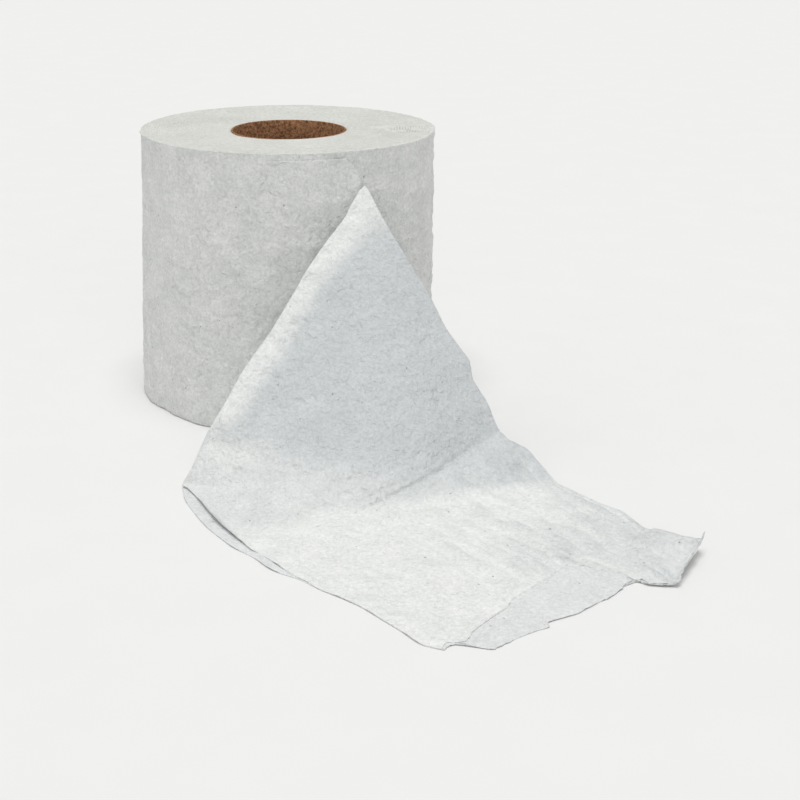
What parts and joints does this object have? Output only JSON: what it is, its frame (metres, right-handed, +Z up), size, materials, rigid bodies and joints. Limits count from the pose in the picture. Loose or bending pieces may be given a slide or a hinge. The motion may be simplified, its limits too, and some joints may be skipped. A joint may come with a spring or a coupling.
{
  "type": "toilet paper roll",
  "caption": "Roll of embossed two-ply toilet tissue on a cardboard core, standing on its end, with its tail folded down and draped out over the floor.",
  "frame": {"origin": "on the core's axis, in the plane of the end face that the roll stands on", "axes": "+Z up along the core's axis; -Y towards the side where the tail is draped, +X to the right as seen from there"},
  "size_m": [0.1814, 0.2716, 0.102],
  "materials": {
    "tissue": "matte creped tissue",
    "core_board": "matte grey-brown board"
  },
  "bodies": {
    "root": {"paper_web": "tissue", "core_tube": "core_board"}
  },
  "joints": []
}
